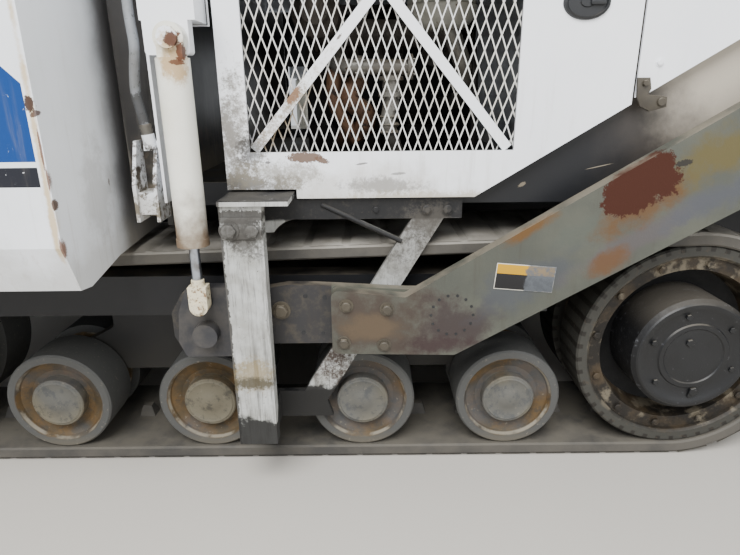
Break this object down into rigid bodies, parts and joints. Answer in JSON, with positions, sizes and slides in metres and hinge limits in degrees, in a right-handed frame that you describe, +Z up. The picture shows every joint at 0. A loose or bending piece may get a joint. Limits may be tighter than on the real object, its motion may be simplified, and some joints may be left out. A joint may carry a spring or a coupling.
{
  "type": "asphalt paver",
  "caption": "Road paving machine on rubber belts: folding hopper in front, engine room with grille doors, operator deck under a canopy, augers and a towed screed behind.",
  "frame": {"origin": "on the ground below the middle of the machine", "axes": "+X the way it drives, +Y its left side, +Z up"},
  "size_m": [6.9976, 3.4, 3.35],
  "materials": {
    "white_paint": "white enamel, dusty, sooty at its lower edges",
    "hopper_paint": "white enamel with plain blue and black bands and rust chips",
    "frame_paint": "black satin paint under dust and soot",
    "guide_steel": "white paint worn to bare streaked steel",
    "arm_steel": "grey-olive paint worn to brown steel with rust",
    "cylinder_paint": "cream enamel with brown dirt",
    "belt_rubber": "dusty black rubber",
    "wheel_steel": "rubber-treaded wheels with ochre and rusty steel faces",
    "engine_iron": "rusty and dusty castings",
    "chrome_rod": "hard chrome",
    "bare_steel": "bare worn steel",
    "grille_steel": "galvanised expanded metal",
    "hose_rubber": "grey fabric sleeved hose",
    "seat_vinyl": "black vinyl",
    "console_plastic": "dark grained plastic",
    "lamp_housing": "black housing"
  },
  "bodies": {
    "tractor": {"main_frame": "frame_paint", "track_frames": "frame_paint", "drive_wheels": "wheel_steel", "track_rollers": "wheel_steel", "track_belt_left": "belt_rubber", "track_belt_right": "belt_rubber", "engine_block": "engine_iron", "engine_fittings": "engine_iron", "engine_housing": "white_paint", "engine_hood": "white_paint", "rear_housing": "white_paint", "tow_guides": "guide_steel", "tow_brackets": "white_paint", "tow_barrels": "cylinder_paint", "hydraulic_hose": "hose_rubber", "conveyor": "bare_steel", "hopper_back": "hopper_paint", "hopper_flashing": "belt_rubber", "operator_deck": "frame_paint", "seat_frames": "frame_paint", "seat_cushions": "seat_vinyl", "control_consoles": "console_plastic", "handrails": "white_paint", "canopy": "white_paint", "exhaust_stack": "engine_iron", "work_lamps": "lamp_housing", "auger_frame": "frame_paint", "lift_brackets": "white_paint", "rear_ladder": "frame_paint"},
    "push_beam": {"push_beam": "frame_paint"},
    "tow_points": {"tow_points": "bare_steel"},
    "screed": {"tow_arm_left": "arm_steel", "tow_arm_right": "arm_steel", "screed_main": "frame_paint"},
    "lift_barrels": {"lift_barrels": "cylinder_paint"},
    "lift_rods": {"lift_rods": "chrome_rod"},
    "wing_left": {"hopper_wing_left": "hopper_paint"},
    "wing_barrel_left": {"wing_barrel_left": "cylinder_paint"},
    "wing_rod_left": {"wing_rod_left": "chrome_rod"},
    "push_roller_left": {"push_roller_left": "bare_steel"},
    "door_left": {"engine_door_left": "white_paint", "door_grille_left": "grille_steel"},
    "extension_left": {"screed_extension_left": "frame_paint"},
    "auger_left": {"auger_left": "bare_steel"},
    "wing_right": {"hopper_wing_right": "hopper_paint"},
    "wing_barrel_right": {"wing_barrel_right": "cylinder_paint"},
    "wing_rod_right": {"wing_rod_right": "chrome_rod"},
    "push_roller_right": {"push_roller_right": "bare_steel"},
    "door_right": {"engine_door_right": "white_paint", "door_grille_right": "grille_steel"},
    "extension_right": {"screed_extension_right": "frame_paint"},
    "auger_right": {"auger_right": "bare_steel"}
  },
  "joints": [
    {"name": "wing_fold_left", "type": "hinge", "parent": "tractor", "child": "wing_left", "pos_m": [1.9, 0.72, 0.842], "axis": [1, 0, 0], "range_deg": [0, 50]},
    {"name": "wing_ram_swing_left", "type": "hinge", "parent": "tractor", "child": "wing_barrel_left", "pos_m": [2.45, 0.76, 0.45], "axis": [1, 0, 0], "range_deg": [-1, 37]},
    {"name": "wing_ram_stroke_left", "type": "slide", "parent": "wing_barrel_left", "child": "wing_rod_left", "axis": [0, 0.8821, 0.471], "range_m": [-0.005, 0.268]},
    {"name": "push_roller_spin_left", "type": "hinge", "parent": "push_beam", "child": "push_roller_left", "pos_m": [3.4, 0.705, 0.51], "axis": [0, 1, 0], "continuous": true},
    {"name": "door_swing_left", "type": "hinge", "parent": "tractor", "child": "door_left", "pos_m": [-0.065, 1.352, 1.8], "axis": [1, 0, 0], "range_deg": [0, 85]},
    {"name": "extension_slide_left", "type": "slide", "parent": "screed", "child": "extension_left", "axis": [0, 1, 0], "range_m": [0, 1]},
    {"name": "auger_spin_left", "type": "hinge", "parent": "tractor", "child": "auger_left", "pos_m": [-2.25, 0.69, 0.47], "axis": [0, 1, 0], "continuous": true},
    {"name": "wing_fold_right", "type": "hinge", "parent": "tractor", "child": "wing_right", "pos_m": [1.9, -0.72, 0.842], "axis": [-1, 0, 0], "range_deg": [0, 50]},
    {"name": "wing_ram_swing_right", "type": "hinge", "parent": "tractor", "child": "wing_barrel_right", "pos_m": [2.45, -0.76, 0.45], "axis": [-1, 0, 0], "range_deg": [-1, 37]},
    {"name": "wing_ram_stroke_right", "type": "slide", "parent": "wing_barrel_right", "child": "wing_rod_right", "axis": [0, -0.8821, 0.471], "range_m": [-0.005, 0.268]},
    {"name": "push_roller_spin_right", "type": "hinge", "parent": "push_beam", "child": "push_roller_right", "pos_m": [3.4, -0.705, 0.51], "axis": [0, 1, 0], "continuous": true},
    {"name": "door_swing_right", "type": "hinge", "parent": "tractor", "child": "door_right", "pos_m": [-0.065, -1.352, 1.8], "axis": [-1, 0, 0], "range_deg": [0, 85]},
    {"name": "extension_slide_right", "type": "slide", "parent": "screed", "child": "extension_right", "axis": [0, -1, 0], "range_m": [0, 1]},
    {"name": "auger_spin_right", "type": "hinge", "parent": "tractor", "child": "auger_right", "pos_m": [-2.25, -0.69, 0.47], "axis": [0, 1, 0], "continuous": true},
    {"name": "push_beam_pivot", "type": "hinge", "parent": "tractor", "child": "push_beam", "pos_m": [3.13, 0, 0.5], "axis": [0, 0, 1], "range_deg": [-5, 5]},
    {"name": "tow_point_slide", "type": "slide", "parent": "tractor", "child": "tow_points", "axis": [0, 0, 1], "range_m": [-0.03, 0.1]},
    {"name": "screed_lift", "type": "hinge", "parent": "tow_points", "child": "screed", "pos_m": [0.605, 0, 0.556], "axis": [0, 1, 0], "range_deg": [-3.2, 0]},
    {"name": "lift_swing", "type": "hinge", "parent": "tractor", "child": "lift_barrels", "pos_m": [-1.945, 0, 1.6], "axis": [0, 1, 0], "range_deg": [-5, 5]},
    {"name": "lift_stroke", "type": "slide", "parent": "lift_barrels", "child": "lift_rods", "axis": [-0.4472, 0, -0.8944], "range_m": [-0.005, 0.165]}
  ],
  "couplings": [
    {"joint": "wing_ram_swing_left", "follows": "wing_fold_left", "ratio": 0.69417},
    {"joint": "wing_ram_stroke_left", "follows": "wing_fold_left", "m_per_rad": 0.2966},
    {"joint": "wing_ram_swing_right", "follows": "wing_fold_right", "ratio": 0.69417},
    {"joint": "wing_ram_stroke_right", "follows": "wing_fold_right", "m_per_rad": 0.2966},
    {"joint": "lift_swing", "follows": "screed_lift", "ratio": 1.1279},
    {"joint": "lift_stroke", "follows": "screed_lift", "m_per_rad": -2.7525}
  ]
}
